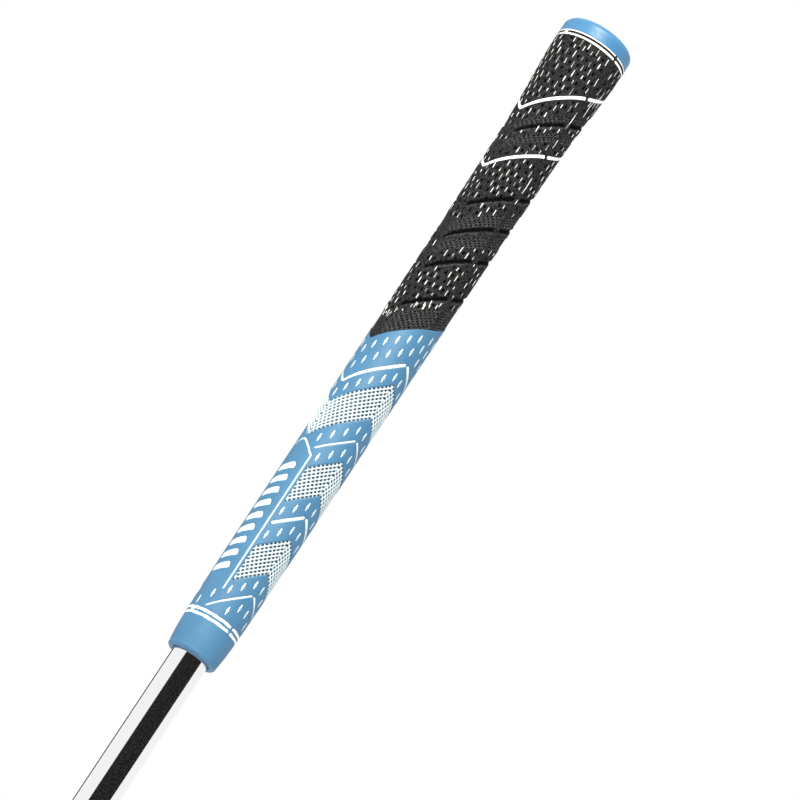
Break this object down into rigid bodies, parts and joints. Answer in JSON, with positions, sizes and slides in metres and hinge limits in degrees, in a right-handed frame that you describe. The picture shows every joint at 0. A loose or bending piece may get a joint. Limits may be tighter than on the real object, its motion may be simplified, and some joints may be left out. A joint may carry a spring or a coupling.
{
  "type": "golf grip",
  "caption": "Two-compound golf grip with a corded black upper hand, soft blue lower hand, blue butt cap and white painted grooves, taped on a short section of chromed steel shaft.",
  "frame": {"origin": "centre of the shaft section's lower end, where the rest of the shaft carries on", "axes": "+Z along the shaft towards the butt cap, -Y towards the front meridian with the emblem panel"},
  "size_m": [0.0268, 0.0268, 0.357],
  "materials": {
    "chrome_steel": "polished",
    "tape": "matte",
    "blue_cap": "satin",
    "blue_rubber": "satin",
    "black_rubber": "matte",
    "cotton_cord": "matte",
    "white_paint": "satin"
  },
  "bodies": {
    "root": {"shaft_section": "chrome_steel", "grip_tape": "tape", "butt_cap": "blue_cap", "lower_hand_sleeve": "blue_rubber", "upper_hand_sleeve": "black_rubber", "cord_fabric": "cotton_cord", "cap_ring_paint": "white_paint", "upper_line_paint_1": "white_paint", "upper_line_paint_2": "white_paint", "chevron_paint_1": "white_paint", "chevron_paint_2": "white_paint", "chevron_paint_3": "white_paint", "chevron_paint_4": "white_paint", "texture_paint_1": "white_paint", "texture_paint_2": "white_paint", "texture_paint_3": "white_paint", "panel_outline_paint": "white_paint", "panel_bar_paint": "white_paint", "mouth_ring_paint": "white_paint"}
  },
  "joints": []
}
